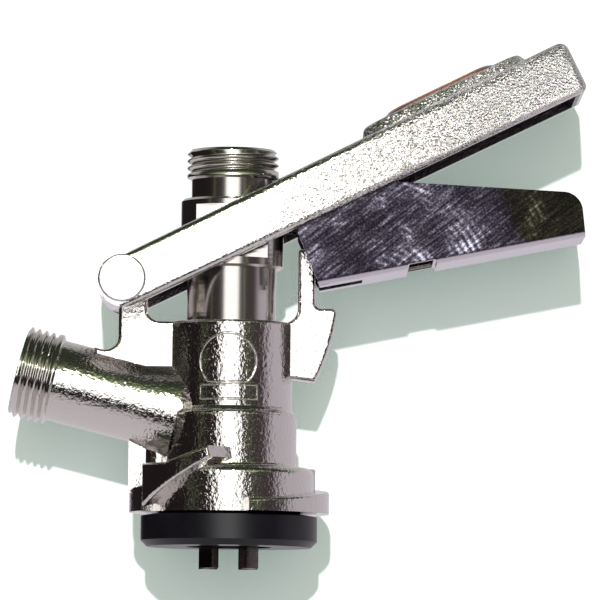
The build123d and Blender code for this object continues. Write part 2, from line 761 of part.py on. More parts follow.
def make_lever_casting():
    root = lever_section(lever_start)
    end = lever_section(LEVER_LENGTH + LEVER_TOP_END)
    cheek_end_r = (LEVER_TOP_ROOT + LEVER_LOW_ROOT) / 2
    cheek_end_t = (LEVER_TOP_ROOT - LEVER_LOW_ROOT) / 2
    with BuildPart() as lever_casting:
        # outer form: a tapering section, cut to the side outline
        add(root)
        add(end)
        loft()
        with BuildSketch(lever_side) as outline:
            with BuildLine():
                top_line = Line((0, LEVER_TOP_ROOT), (LEVER_LENGTH, LEVER_TOP_END))
                end_line = Line(top_line @ 1, (LEVER_LENGTH, -LEVER_LOW_END))
                low_line = Line(end_line @ 1, (0, -LEVER_LOW_ROOT))
                ThreePointArc(low_line @ 1, (-cheek_end_r, cheek_end_t), top_line @ 0)
            make_face()
            upper = outline.vertices().sort_by_distance(Vector(LEVER_LENGTH, LEVER_TOP_END))[0]
            fillet(upper, LEVER_END_ROUND)
            lower = outline.vertices().sort_by_distance(Vector(LEVER_LENGTH, -LEVER_LOW_END))[0]
            fillet(lower, LEVER_END_ROUND_LOW)
        extrude(amount=2 * LEVER_HALF, both=True, mode=Mode.INTERSECT)
        # thumb rest with a pocket for the badge
        with BuildSketch(rest_plane):
            RectangleRounded(REST_LENGTH, REST_WIDTH, REST_CORNER)
        extrude(amount=REST_HEIGHT, taper=REST_TAPER)
        rest_faces = lever_casting.faces().filter_by(rest_plane)
        rest_face = rest_faces.sort_by(Axis(rest_foot, rest_plane.z_dir))[-1]
        fillet(rest_face.edges(), REST_ROUND)
        with BuildSketch(badge_floor):
            SlotOverall(BADGE_LENGTH, BADGE_WIDTH)
        extrude(amount=REST_HEIGHT, mode=Mode.SUBTRACT)
        # fork for the probe and the channel under the roof
        with BuildSketch(lever_side):
            with BuildLine():
                Polyline(
                    (2 * lever_start, -2 * lever_start),
                    (FORK_END, -2 * lever_start),
                    (FORK_END, LEVER_TOP_ROOT - LEVER_ROOF + FORK_END * lever_top_slope),
                    (LEVER_LENGTH - LEVER_WALL, LEVER_TOP_END - LEVER_ROOF),
                    (LEVER_LENGTH - LEVER_WALL, 2 * lever_start),
                    (2 * lever_start, 2 * lever_start),
                    close=True,
                )
            make_face()
        extrude(amount=lever_inner, both=True, mode=Mode.SUBTRACT)
        # drive bosses inside the cheeks
        boss_face = COLLAR_FLAT + DRIVE_BOSS_GAP
        for side in (-1, 1):
            with BuildSketch(lever_side.offset(side * boss_face)):
                with Locations((PROBE_STROKE_ARM, 0)):
                    Circle(DRIVE_BOSS_R)
            extrude(amount=side * (lever_inner - boss_face + LEVER_WALL / 2))
        # hole for the hinge pin, and the latch pin's, which is blind in the front cheek
        with BuildSketch(lever_side):
            Circle(PIN_R)
        extrude(amount=2 * LEVER_HALF, both=True, mode=Mode.SUBTRACT)
        with BuildSketch(latch_pin_end):
            with Locations((LATCH_ARM, 0)):
                Circle(LATCH_PIN_R)
        extrude(amount=-2 * LEVER_HALF, mode=Mode.SUBTRACT)
    return lever_casting.part


def make_badge_plate():
    with BuildPart() as badge_plate:
        with BuildSketch(badge_floor):
            SlotOverall(BADGE_LENGTH - 2 * BADGE_FIT, BADGE_WIDTH - 2 * BADGE_FIT)
        extrude(amount=BADGE_DEPTH + BADGE_STAND)
    return badge_plate.part


def make_hinge_pin():
    with BuildPart() as hinge_pin:
        with BuildSketch(lever_side.offset(LEVER_HALF)):
            Circle(PIN_HEAD_R)
        extrude(amount=PIN_HEAD_HEIGHT)
        fillet(hinge_pin.faces().sort_by(Axis.Y)[0].edges(), PIN_HEAD_ROUND)
        with BuildSketch(lever_side.offset(LEVER_HALF)):
            Circle(PIN_R)
        extrude(amount=-(2 * LEVER_HALF + PIN_TAIL))
        chamfer(hinge_pin.faces().sort_by(Axis.Y)[-1].edges(), PIN_CHAMFER)
        with BuildSketch(clip_plane):
            Circle(2 * PIN_R)
            Circle(PIN_R - CLIP_GROOVE, mode=Mode.SUBTRACT)
        extrude(amount=-CLIP_THICKNESS, mode=Mode.SUBTRACT)
    return hinge_pin.part


def make_hinge_pin_washer():
    with BuildPart() as hinge_pin_washer:
        with BuildSketch(lever_side.offset(-LEVER_HALF)):
            Circle(PIN_WASHER_R)
            Circle(PIN_R + RUN_CLEARANCE, mode=Mode.SUBTRACT)
        extrude(amount=-PIN_WASHER_THICKNESS)
    return hinge_pin_washer.part


def make_hinge_pin_clip():
    """E-clip: an open ring whose three inner teeth grip the pin's groove."""
    groove_r = PIN_R - CLIP_GROOVE
    with BuildPart() as hinge_pin_clip:
        with BuildSketch(clip_plane):
            Circle(CLIP_R)
            Circle(PIN_R + CLIP_GROOVE, mode=Mode.SUBTRACT)
            with PolarLocations((groove_r + CLIP_R) / 2, 3, start_angle=90):
                Rectangle(CLIP_R - groove_r, CLIP_TOOTH)
            Circle(groove_r, mode=Mode.SUBTRACT)
            with Locations((0, -CLIP_R)):
                Rectangle(groove_r, 2 * groove_r, mode=Mode.SUBTRACT)
        extrude(amount=-CLIP_THICKNESS)
    return hinge_pin_clip.part


def make_latch_pin():
    with BuildPart() as latch_pin:
        with BuildSketch(latch_pin_end):
            with Locations((LATCH_ARM, 0)):
                Circle(LATCH_PIN_R)
        extrude(amount=-(lever_inner + LATCH_PIN_GRIP + LEVER_HALF))
    return latch_pin.part


# ================================================================ latch
def make_latch_plate():
    """Squeeze latch: a U-channel bent from sheet, hung on the latch pin."""
    tail = Vector(LATCH_TOP_X, LATCH_TOP_Z)
    touch = degrees(atan2(tail.Y, tail.X) + acos(LATCH_LOBE_R / tail.length))
    lift = LATCH_SHEET / cos(latch_slope)
    with BuildPart() as latch_plate:
        with BuildSketch(latch_side) as outline:
            Circle(LATCH_LOBE_R)
            with BuildLine():
                Polyline(
                    (LATCH_FLOOR_X, LATCH_FLOOR_Z),
                    (LATCH_END_X, latch_floor_z(LATCH_END_X)),
                    (LATCH_END_X - LATCH_END_LEAN, LATCH_END_TOP),
                    (LATCH_TOP_X, LATCH_TOP_Z),
                    (LATCH_LOBE_R * cos(radians(touch)), LATCH_LOBE_R * sin(radians(touch))),
                    (0, 0),
                    (-LATCH_LOBE_R, 0),
                    (-LATCH_LOBE_R, LATCH_CHIN_Z),
                    close=True,
                )
            make_face()
            tip = Vector(LATCH_END_X - LATCH_END_LEAN, LATCH_END_TOP)
            fillet(outline.vertices().sort_by_distance(tip)[0], LATCH_END_ROUND)
        extrude(amount=LATCH_HALF, both=True)
        # outer bends
        bends = latch_plate.edges().filter_by(Axis(latch_pivot, latch_floor_dir)).sort_by(Axis.Z)[:2]
        fillet(bends, LATCH_BEND_R)
        # hollow, leaving two walls and the floor
        with BuildSketch(latch_side):
            with BuildLine():
                Polyline(
                    (-LATCH_ARM, latch_floor_z(-LATCH_ARM) + lift),
                    (2 * LATCH_END_X, latch_floor_z(2 * LATCH_END_X) + lift),
                    (2 * LATCH_END_X, LATCH_ARM),
                    (-LATCH_ARM, LATCH_ARM),
                    close=True,
                )
            make_face()
        extrude(amount=LATCH_HALF - LATCH_SHEET, both=True, mode=Mode.SUBTRACT)
        # relief in the floor, so that the quadrant passes through it
        reach = QUADRANT_R + LATCH_RELIEF_GAP + HINGE_X - latch_pivot.X
        with BuildSketch(Plane.XY.offset(latch_pivot.Z + LATCH_FLOOR_Z - LATCH_SHEET)):
            with Locations((latch_pivot.X + reach / 2, 0)):
                Rectangle(reach + 2 * LATCH_LOBE_R, 2 * LATCH_RELIEF_HALF)
        extrude(amount=-LATCH_CHIN_Z, mode=Mode.SUBTRACT)
        # window across the floor for the spring's legs
        window_x = LATCH_WINDOW_X - latch_pivot.X
        window_middle = latch_side.from_local_coords(Vector(window_x, latch_floor_z(window_x), 0))
        with BuildSketch(Plane(origin=window_middle, x_dir=latch_floor_dir, z_dir=(0, -1, 0))):
            RectangleRounded(LATCH_WINDOW, 2 * LATCH_WINDOW_RISE, LATCH_WINDOW_RISE / 2)
        extrude(amount=2 * LATCH_HALF, both=True, mode=Mode.SUBTRACT)
        # pivot holes
        with BuildSketch(latch_side):
            Circle(LATCH_PIN_R + RUN_CLEARANCE)
        extrude(amount=2 * LATCH_HALF, both=True, mode=Mode.SUBTRACT)
    return latch_plate.part


def make_latch_spring():
    """Double torsion spring on the latch pin: the bridge bears on the roof, the legs on the floor."""
    roof_under = LEVER_TOP_ROOT - LEVER_ROOF + lever_top_slope * (LATCH_ARM + SPRING_BRIDGE_ARM)
    bridge = latch_side.to_local_coords(
        lever_side.from_local_coords(
            Vector(LATCH_ARM + SPRING_BRIDGE_ARM, roof_under - SPRING_WIRE_R - SOFT_CLEARANCE, 0)
        )
    )
    leg_lift = (LATCH_SHEET + SPRING_WIRE_R + SOFT_CLEARANCE) / cos(latch_slope)
    window_x = LATCH_WINDOW_X - latch_pivot.X
    knee = Vector(window_x - LATCH_WINDOW, latch_floor_z(window_x - LATCH_WINDOW) + leg_lift)
    foot = Vector(window_x + LATCH_WINDOW, latch_floor_z(window_x + LATCH_WINDOW) + leg_lift)
    # straight lengths of the two legs, and the turns between their tangent points
    bridge_leg = sqrt(bridge.length**2 - SPRING_COIL_R**2)
    knee_leg = sqrt(knee.length**2 - SPRING_COIL_R**2)
    start_angle = atan2(bridge.Y, bridge.X) - atan2(bridge_leg, SPRING_COIL_R)
    end_angle = atan2(knee.Y, knee.X) - start_angle + atan2(knee_leg, SPRING_COIL_R)
    turns = SPRING_TURNS + (-degrees(end_angle) % 360) / 360
    pitch = 2 * SPRING_WIRE_R + SPRING_TURN_GAP
    outer_y = SPRING_INNER_Y + pitch * turns
    knee_here = knee.rotate(Axis.Z, -degrees(start_angle))
    foot_here = foot.rotate(Axis.Z, -degrees(start_angle))
    # the front half, wound about +Z from +X
    with BuildPart() as half:
        with BuildLine() as coil:
            Helix(pitch, pitch * turns, SPRING_COIL_R, center=(0, 0, SPRING_INNER_Y), lefthand=True)
        with BuildSketch(Plane(origin=coil.line @ 0, z_dir=coil.line % 0)):
            Circle(SPRING_WIRE_R)
        sweep(is_frenet=True)
        coil_start = coil.line @ 0 + coil.line % 0 * SPRING_WIRE_R
        coil_end = coil.line @ 1 - coil.line % 1 * SPRING_WIRE_R
        routes = [
            [(SPRING_COIL_R, bridge_leg, 0), (SPRING_COIL_R, bridge_leg, SPRING_INNER_Y), coil_start],
            [coil_end, (knee_here.X, knee_here.Y, outer_y), (foot_here.X, foot_here.Y, outer_y)],
        ]
        for route in routes:
            with BuildLine() as leg:
                FilletPolyline(*route, radius=SPRING_BEND_R)
            with BuildSketch(Plane(origin=leg.line @ 0, z_dir=leg.line % 0)):
                Circle(SPRING_WIRE_R)
            sweep()
    place = Plane(
        origin=latch_pivot, x_dir=(cos(start_angle), 0, sin(start_angle)), z_dir=(0, -1, 0)
    )
    with BuildPart() as latch_spring:
        with Locations(place):
            add(half.part)
        mirror(about=Plane.XZ)
    return latch_spring.part


# ================================================================ writing
def keep(name, part):
    part.label = name
    export_step(part, f"parts/{name}.step")


os.makedirs("parts", exist_ok=True)
keep("body_seal", make_body_seal())
keep("body_casting", make_body_casting())
for ring_name, ring_z in RING_HEIGHTS.items():
    keep(ring_name, make_probe_o_ring(ring_z))
keep("gas_check_valve", make_gas_check_valve())
keep("check_valve_retainer", make_check_valve_retainer())
keep("probe_body", make_probe_body())
keep("probe_nose", make_probe_nose())
keep("nose_o_ring", make_nose_o_ring())
keep("probe_washer", make_probe_washer())
keep("ball_seat", make_ball_seat())
keep("ball_stop_pin", make_ball_stop_pin())
keep("check_ball", make_check_ball())
keep("lever_casting", make_lever_casting())
keep("badge_plate", make_badge_plate())
keep("hinge_pin", make_hinge_pin())
keep("hinge_pin_washer", make_hinge_pin_washer())
keep("hinge_pin_clip", make_hinge_pin_clip())
keep("latch_pin", make_latch_pin())
keep("latch_plate", make_latch_plate())
keep("latch_spring", make_latch_spring())
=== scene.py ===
# %% [markdown]
# # Keg coupler
# A keg coupler joins a beer keg to its gas and beer lines. Its body is cast brass with bright
# nickel plate, its probe is turned stainless steel, and its latch is bent sheet steel. The CAD
# model gives the rigid parts. This lesson cuts their threads, rounds the lever's corners, adds
# the cast marks and the badge's dome, and gives every part the finish of the real one.

# %% Load the CAD model
import json
import math

import bmesh
import bpy
from mathutils import Matrix, Vector


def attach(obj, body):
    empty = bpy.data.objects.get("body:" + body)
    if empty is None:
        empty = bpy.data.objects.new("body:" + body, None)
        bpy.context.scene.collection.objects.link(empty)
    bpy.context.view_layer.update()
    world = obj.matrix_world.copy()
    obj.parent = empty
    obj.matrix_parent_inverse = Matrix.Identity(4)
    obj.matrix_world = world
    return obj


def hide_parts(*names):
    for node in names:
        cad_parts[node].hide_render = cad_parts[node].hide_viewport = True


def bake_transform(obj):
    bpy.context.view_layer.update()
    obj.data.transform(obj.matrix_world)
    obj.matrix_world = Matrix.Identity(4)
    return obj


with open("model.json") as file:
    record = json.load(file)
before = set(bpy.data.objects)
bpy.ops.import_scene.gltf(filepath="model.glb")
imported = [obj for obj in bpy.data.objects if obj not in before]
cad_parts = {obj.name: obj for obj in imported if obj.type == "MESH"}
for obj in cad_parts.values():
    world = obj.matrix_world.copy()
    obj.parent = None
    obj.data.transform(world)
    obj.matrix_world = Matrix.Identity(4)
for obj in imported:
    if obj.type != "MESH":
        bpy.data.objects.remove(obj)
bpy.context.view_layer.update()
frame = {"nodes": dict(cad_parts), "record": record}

MM = 0.001
nodes = frame["nodes"]
print("CAD nodes:", len(nodes))


# %% [markdown]
# Every size below is in millimetres, and Blender works in metres. Colours are written as the
# hex values that a paint chart gives. Blender mixes light, so one function turns them to
# linear values.

# %% Small helpers
def linear(hex_colour):
    """Linear RGBA of an sRGB hex colour."""
    channels = [int(hex_colour[i : i + 2], 16) / 255 for i in (1, 3, 5)]
    return [c / 12.92 if c <= 0.04045 else ((c + 0.055) / 1.055) ** 2.4 for c in channels] + [1.0]


def add_node(tree, kind, inputs=None, stops=None, **settings):
    """Adds a node, sets it up, and fills or links its inputs. stops are a ramp's places and colours."""
    node = tree.nodes.new(kind)
    for key, value in settings.items():
        setattr(node, key, value)
    if stops:
        ramp = node.color_ramp
        while len(ramp.elements) < len(stops):
            ramp.elements.new(1.0)
        for element, (place, colour) in zip(ramp.elements, stops):
            element.position = place
            element.color = linear(colour)
    for key, value in (inputs or {}).items():
        if isinstance(value, bpy.types.NodeSocket):
            tree.links.new(value, node.inputs[key])
        else:
            node.inputs[key].default_value = value
    return node


def new_material(name, **values):
    """A material with one Principled shader, its constant values set on the shader's own sockets."""
    material = bpy.data.materials.new(name)
    material.use_nodes = True
    shader = material.node_tree.nodes["Principled BSDF"]
    for key, value in values.items():
        shader.inputs[key.replace("_", " ")].default_value = value
    return material, material.node_tree, shader


def per_mm(size):
    """A texture's scale for features of that many millimetres."""
    return 1 / (size * MM)


# %% [markdown]
# ## Nickel plate over a sand casting
# The body is cast in sand, tumbled and plated with bright nickel. The plate mirrors the room,
# and the sand's grain under it breaks the mirror into sparks. The grain is about a millimetre
# across with a finer one in it. Displaced faces would run to millions, so two noise textures
# feed one bump instead. The machined thread at the end of the gas inlet has hardly any grain.

# %% Cast plating
INLET_RISE = 14.0  # degrees above level
INLET_AXIS_Z = 30.3
INLET_LENGTH = 54.5
INLET_THREAD = 9.5
inlet_dir = Vector((-math.cos(math.radians(INLET_RISE)), 0, math.sin(math.radians(INLET_RISE))))
inlet_foot = Vector((0, 0, INLET_AXIS_Z)) * MM
COARSE_GRAIN, FINE_GRAIN = 0.95, 0.4
FINE_SHARE = 0.4
GRAIN_HEIGHT = 0.13
THREAD_GRAIN = 0.06  # what is left of the grain's strength on the thread
GRAIN_FADE = 0.5

cast_plating, tree, shader = new_material("nickel_plated_casting", Metallic=1.0, Roughness=0.09)
shader.inputs["Base Color"].default_value = linear("#DEDAD6")
place = add_node(tree, "ShaderNodeTexCoord").outputs["Object"]
from_foot = add_node(
    tree, "ShaderNodeVectorMath", {0: place, 1: inlet_foot}, operation="SUBTRACT"
).outputs["Vector"]
along = add_node(
    tree, "ShaderNodeVectorMath", {0: from_foot, 1: inlet_dir}, operation="DOT_PRODUCT"
).outputs["Value"]
thread_start = (INLET_LENGTH - INLET_THREAD) * MM
cast_share = add_node(
    tree,
    "ShaderNodeMapRange",
    {
        "Value": along,
        "From Min": thread_start - GRAIN_FADE * MM,
        "From Max": thread_start,
        "To Min": 1.0,
        "To Max": THREAD_GRAIN,
    },
).outputs["Result"]
coarse = add_node(
    tree,
    "ShaderNodeTexNoise",
    {"Vector": place, "Scale": per_mm(COARSE_GRAIN), "Detail": 1.0, "Roughness": 0.4},
).outputs["Fac"]
fine = add_node(
    tree,
    "ShaderNodeTexNoise",
    {"Vector": place, "Scale": per_mm(FINE_GRAIN), "Detail": 1.0, "Roughness": 0.5},
).outputs["Fac"]
grain = add_node(tree, "ShaderNodeMath", {0: fine, 1: FINE_SHARE, 2: coarse}, operation="MULTIPLY_ADD")
bump = add_node(
    tree,
    "ShaderNodeBump",
    {"Height": grain.outputs[0], "Distance": GRAIN_HEIGHT * MM, "Strength": cast_share},
)
tree.links.new(bump.outputs["Normal"], shader.inputs["Normal"])
print("material:", cast_plating.name)

# %% [markdown]
# ## Nickel plate over a blasted lever
# The lever is a pressure casting, blasted before it is plated. Its pebbles are half a
# millimetre across and grow faint towards the hinge, so the bump's strength grows along the
# lever. Inside the channel under the roof the plate colour is painted dark, as painted shade.

# %% Lever plating
LEVER_RISE = 26.4
HINGE = Vector((-27.0, 0, 65.7)) * MM
CHANNEL_HALF = 13.75
CHANNEL_TOP = 3.3  # over the hinge line
CHANNEL_END = 122.5  # along the lever, from the hinge
PEBBLE = 0.55
PEBBLE_HEIGHT = 0.62
SMOOTH_X, PEBBLED_X = -5.0, 62.0
LEAST_PEBBLE = 0.12  # what is left of the pebbles' strength by the hinge
lever_dir = Vector((math.cos(math.radians(LEVER_RISE)), 0, math.sin(math.radians(LEVER_RISE))))
lever_up = Vector((-lever_dir.z, 0, lever_dir.x))

lever_plating, tree, shader = new_material("nickel_plated_lever", Metallic=1.0, Roughness=0.14)
place = add_node(tree, "ShaderNodeTexCoord").outputs["Object"]
axes = add_node(tree, "ShaderNodeSeparateXYZ", {0: place})
from_hinge = add_node(
    tree, "ShaderNodeVectorMath", {0: place, 1: HINGE}, operation="SUBTRACT"
).outputs["Vector"]
reach = add_node(
    tree, "ShaderNodeVectorMath", {0: from_hinge, 1: lever_dir}, operation="DOT_PRODUCT"
).outputs["Value"]
height = add_node(
    tree, "ShaderNodeVectorMath", {0: from_hinge, 1: lever_up}, operation="DOT_PRODUCT"
).outputs["Value"]
aside = add_node(tree, "ShaderNodeMath", {0: axes.outputs["Y"]}, operation="ABSOLUTE").outputs[0]
# painted shade: faces inside the channel under the roof get a dark plate colour
inside = 1.0
for distance, wall in ((height, CHANNEL_TOP), (aside, CHANNEL_HALF), (reach, CHANNEL_END)):
    within = add_node(tree, "ShaderNodeMath", {0: distance, 1: wall * MM}, operation="LESS_THAN")
    inside = add_node(
        tree, "ShaderNodeMath", {0: within.outputs[0], 1: inside}, operation="MULTIPLY"
    ).outputs[0]
plate = add_node(
    tree, "ShaderNodeMixRGB", {"Fac": inside, "Color1": linear("#E6E2DF"), "Color2": linear("#565054")}
)
tree.links.new(plate.outputs["Color"], shader.inputs["Base Color"])
wear = add_node(
    tree,
    "ShaderNodeMapRange",
    {
        "Value": axes.outputs["X"],
        "From Min": SMOOTH_X * MM,
        "From Max": PEBBLED_X * MM,
        "To Min": LEAST_PEBBLE,
        "To Max": 1.0,
    },
).outputs["Result"]
pebbles = add_node(
    tree, "ShaderNodeTexNoise", {"Vector": place, "Scale": per_mm(PEBBLE), "Detail": 1.0, "Roughness": 0.5}
).outputs["Fac"]
bump = add_node(
    tree, "ShaderNodeBump", {"Height": pebbles, "Distance": PEBBLE_HEIGHT * MM, "Strength": wear}
)
tree.links.new(bump.outputs["Normal"], shader.inputs["Normal"])
print("material:", lever_plating.name)

# %% [markdown]
# ## Blue zinc on the latch
# The latch is cold-rolled sheet with blue-passivated zinc. A flap wheel has left brush marks
# on its walls, which catch the light in patches. The bends and the floor are painted pale
# lilac, as a painted reflection.
# Noise drawn out along one slant gives the strokes, rings of a wave texture in patches give
# the swirls, and wide noise gives the clouds of violet and slate. Hands have left the free end
# oily and olive.

# %% Brush marks on the latch
CLOUD, SPECK, STROKE_WIDTH = 13.0, 0.55, 0.6
STROKE_RISE = math.radians(38)  # the flap wheel ran up to the free end
STROKE_STRETCH = 14
SWIRL_X, SWIRL_Z = 34.0, 60.0
SWIRL_PITCH = 1.7
RINGS_PER_UNIT = 20 / math.tau  # a wave texture turns by 20 radians in each unit of its scale
SPECK_SHARE, STROKE_SHARE, CLOUD_SHARE = 0.35, 0.4, 0.35  # of each pattern in the tone

latch_sheet, tree, shader = new_material("blue_zinc_sheet", Metallic=1.0, Roughness=0.22)
place = add_node(tree, "ShaderNodeTexCoord").outputs["Object"]
clouds = add_node(
    tree, "ShaderNodeTexNoise", {"Vector": place, "Scale": per_mm(CLOUD), "Detail": 3.0, "Roughness": 0.6}
).outputs["Fac"]
specks = add_node(
    tree, "ShaderNodeTexNoise", {"Vector": place, "Scale": per_mm(SPECK), "Detail": 1.5, "Roughness": 0.7}
).outputs["Fac"]
stroke_place = add_node(
    tree,
    "ShaderNodeMapping",
    {"Vector": place, "Rotation": (0, -STROKE_RISE, 0), "Scale": (STROKE_STRETCH, 1, 1)},
    vector_type="TEXTURE",
).outputs["Vector"]
strokes = add_node(
    tree,
    "ShaderNodeTexNoise",
    {"Vector": stroke_place, "Scale": per_mm(STROKE_WIDTH), "Detail": 2.0, "Roughness": 0.6},
).outputs["Fac"]
swirl_place = add_node(
    tree, "ShaderNodeMapping", {"Vector": place, "Location": (-SWIRL_X * MM, 0, -SWIRL_Z * MM)}
).outputs["Vector"]
swirls = add_node(
    tree,
    "ShaderNodeTexWave",
    {
        "Vector": swirl_place,
        "Scale": per_mm(SWIRL_PITCH) / RINGS_PER_UNIT,
        "Distortion": 1.5,
        "Detail": 1.0,
        "Detail Scale": 0.2,
    },
    wave_type="RINGS",
    rings_direction="Y",
).outputs["Fac"]
patch = add_node(
    tree,
    "ShaderNodeMapRange",
    {"Value": clouds, "From Min": 0.5, "From Max": 0.7, "To Min": 0.0, "To Max": 0.22},
).outputs["Result"]
swirls = add_node(tree, "ShaderNodeMath", {0: swirls, 1: patch}, operation="MULTIPLY").outputs[0]
tone = swirls
for pattern, share in ((specks, SPECK_SHARE), (strokes, STROKE_SHARE), (clouds, CLOUD_SHARE)):
    tone = add_node(
        tree, "ShaderNodeMath", {0: pattern, 1: share, 2: tone}, operation="MULTIPLY_ADD"
    ).outputs[0]
print("strokes slant by", round(math.degrees(STROKE_RISE)), "degrees")

# %% Colours of the latch
TIP_SLANT = (0.93, 0, 0.37)
OILY_FROM, OILY_FULL = 92.0, 97.0  # along that slant
BEND_END, WALL_START = 0.94, 0.985  # how squarely a face looks sideways
SPECK_HEIGHT = 0.05
zinc = add_node(
    tree,
    "ShaderNodeValToRGB",
    {"Fac": tone},
    stops=[(0.48, "#17141A"), (0.57, "#302C35"), (0.66, "#5A5660"), (0.8, "#B2B0C0")],
).outputs["Color"]
oiled = add_node(
    tree, "ShaderNodeValToRGB", {"Fac": tone}, stops=[(0.5, "#0F0E0C"), (0.64, "#232119"), (0.8, "#5A574C")]
).outputs["Color"]
toward_tip = add_node(
    tree, "ShaderNodeVectorMath", {0: place, 1: TIP_SLANT}, operation="DOT_PRODUCT"
).outputs["Value"]
handled = add_node(
    tree,
    "ShaderNodeMapRange",
    {
        "Value": toward_tip,
        "From Min": OILY_FROM * MM,
        "From Max": OILY_FULL * MM,
        "To Min": 0.0,
        "To Max": 1.0,
    },
    interpolation_type="SMOOTHSTEP",
).outputs["Result"]
walls = add_node(
    tree, "ShaderNodeMixRGB", {"Fac": handled, "Color1": zinc, "Color2": oiled}
).outputs["Color"]
normal = add_node(tree, "ShaderNodeNewGeometry").outputs["Normal"]
sideways = add_node(tree, "ShaderNodeSeparateXYZ", {0: normal}).outputs["Y"]
sideways = add_node(tree, "ShaderNodeMath", {0: sideways}, operation="ABSOLUTE").outputs[0]
# painted reflection: faces that do not look sideways, the bends and the floor, get pale lilac instead of the
# zinc
walls_over_painted_sheen = add_node(
    tree,
    "ShaderNodeMapRange",
    {"Value": sideways, "From Min": BEND_END, "From Max": WALL_START, "To Min": 0.0, "To Max": 1.0},
).outputs["Result"]
colour = add_node(tree, "ShaderNodeMixRGB", {"Fac": walls_over_painted_sheen, "Color1": linear("#D9D3DC"), "Color2": walls})
tree.links.new(colour.outputs["Color"], shader.inputs["Base Color"])
bump = add_node(
    tree, "ShaderNodeBump", {"Height": specks, "Distance": SPECK_HEIGHT * MM, "Strength": 0.5}
)
tree.links.new(bump.outputs["Normal"], shader.inputs["Normal"])
print("material:", latch_sheet.name)

# %% [markdown]
# ## Turned stainless steel
# The probe, its nose and the ball are turned from bar. The tool leaves rings round the axis,
# too fine to show, so they are drawn about a millimetre apart. They blur the mirror up and
# down only, which anisotropy gives too.

# %% Turned stainless
TOOL_PITCH = 1.13
TOOL_DEPTH = 0.01
turned_stainless, tree, shader = new_material(
    "turned_stainless", Metallic=1.0, Roughness=0.16, Anisotropic=0.5
)
shader.inputs["Base Color"].default_value = linear("#D6D0CB")
place = add_node(tree, "ShaderNodeTexCoord").outputs["Object"]
rings = add_node(
    tree,
    "ShaderNodeTexWave",
    {"Vector": place, "Scale": per_mm(TOOL_PITCH) / RINGS_PER_UNIT, "Distortion": 0.6, "Detail": 1.0},
    wave_type="BANDS",
    bands_direction="Z",
).outputs["Fac"]
bump = add_node(
    tree, "ShaderNodeBump", {"Height": rings, "Distance": TOOL_DEPTH * MM, "Strength": 0.5}
)
tree.links.new(bump.outputs["Normal"], shader.inputs["Normal"])
print("material:", turned_stainless.name)

# %% [markdown]
# ## Moulded rubber
# The body seal, the probe's washer and the O-rings are black nitrile rubber from a polished
# mould. It is smooth and slightly oily, so a soft highlight stands on it. One plain colour
# would look like plastic, so wide noise mottles it, like the bloom that rises out of rubber.

# %% Rubber
BLOOM, SKIN = 5.0, 0.5
SKIN_HEIGHT = 0.01


def rubber(name, colour, roughness):
    """Black moulded rubber with a faint mottled bloom."""
    material, tree, shader = new_material(name, Roughness=roughness, IOR=1.4)
    place = add_node(tree, "ShaderNodeTexCoord").outputs["Object"]
    bloom = add_node(tree, "ShaderNodeTexNoise", {"Vector": place, "Scale": per_mm(BLOOM), "Detail": 4.0})
    tint = add_node(
        tree, "ShaderNodeValToRGB", {"Fac": bloom.outputs["Fac"]}, stops=[(0.3, colour), (0.8, "#17141C")]
    )
    tree.links.new(tint.outputs["Color"], shader.inputs["Base Color"])
    skin = add_node(tree, "ShaderNodeTexNoise", {"Vector": place, "Scale": per_mm(SKIN), "Detail": 1.0})
    bump = add_node(
        tree,
        "ShaderNodeBump",
        {"Height": skin.outputs["Fac"], "Distance": SKIN_HEIGHT * MM, "Strength": 0.5},
    )
    tree.links.new(bump.outputs["Normal"], shader.inputs["Normal"])
    print("material:", material.name)
    return material


seal_rubber = rubber("nitrile_seal", "#0B090F", 0.34)
washer_rubber = rubber("nitrile_washer", "#121015", 0.45)
check_rubber = rubber("silicone_check_valve", "#17161A", 0.5)

# %% [markdown]
# ## Acetal, pins, spring wire and enamel
# The ball's seat and the check valve's retainer are white acetal, which scatters light under
# a waxy skin. The pins are ground, the spring wire is drawn and carries a phosphate skin, the
# probe's nose is painted darker as painted shade, and the badge is vitreous enamel in a brass
# rim. Noise in the colour and the bump is enough at their size. Real scratches are too fine to
# show, so they are drawn half a millimetre wide or more.

# %% Small finishes
FLOW_LINES, FIRING = 3.0, 2.5
SCRATCH_DEPTH = 0.02

acetal, tree, shader = new_material("acetal", Roughness=0.4, IOR=1.48)
place = add_node(tree, "ShaderNodeTexCoord").outputs["Object"]
flow = add_node(tree, "ShaderNodeTexNoise", {"Vector": place, "Scale": per_mm(FLOW_LINES), "Detail": 2.0})
tint = add_node(
    tree, "ShaderNodeValToRGB", {"Fac": flow.outputs["Fac"]}, stops=[(0.3, "#E4E2DA"), (0.8, "#F2F0EA")]
)
tree.links.new(tint.outputs["Color"], shader.inputs["Base Color"])


def ground_metal(name, dark, light, roughness, grit):
    """Bare metal with fine scratches of that width in millimetres."""
    material, tree, shader = new_material(name, Metallic=1.0, Roughness=roughness)
    place = add_node(tree, "ShaderNodeTexCoord").outputs["Object"]
    scratches = add_node(
        tree, "ShaderNodeTexNoise", {"Vector": place, "Scale": per_mm(grit), "Detail": 3.0, "Roughness": 0.6}
    ).outputs["Fac"]
    tint = add_node(tree, "ShaderNodeValToRGB", {"Fac": scratches}, stops=[(0.35, dark), (0.7, light)])
    tree.links.new(tint.outputs["Color"], shader.inputs["Base Color"])
    bump = add_node(
        tree, "ShaderNodeBump", {"Height": scratches, "Distance": SCRATCH_DEPTH * MM, "Strength": 0.5}
    )
    tree.links.new(bump.outputs["Normal"], shader.inputs["Normal"])
    print("material:", material.name)
    return material


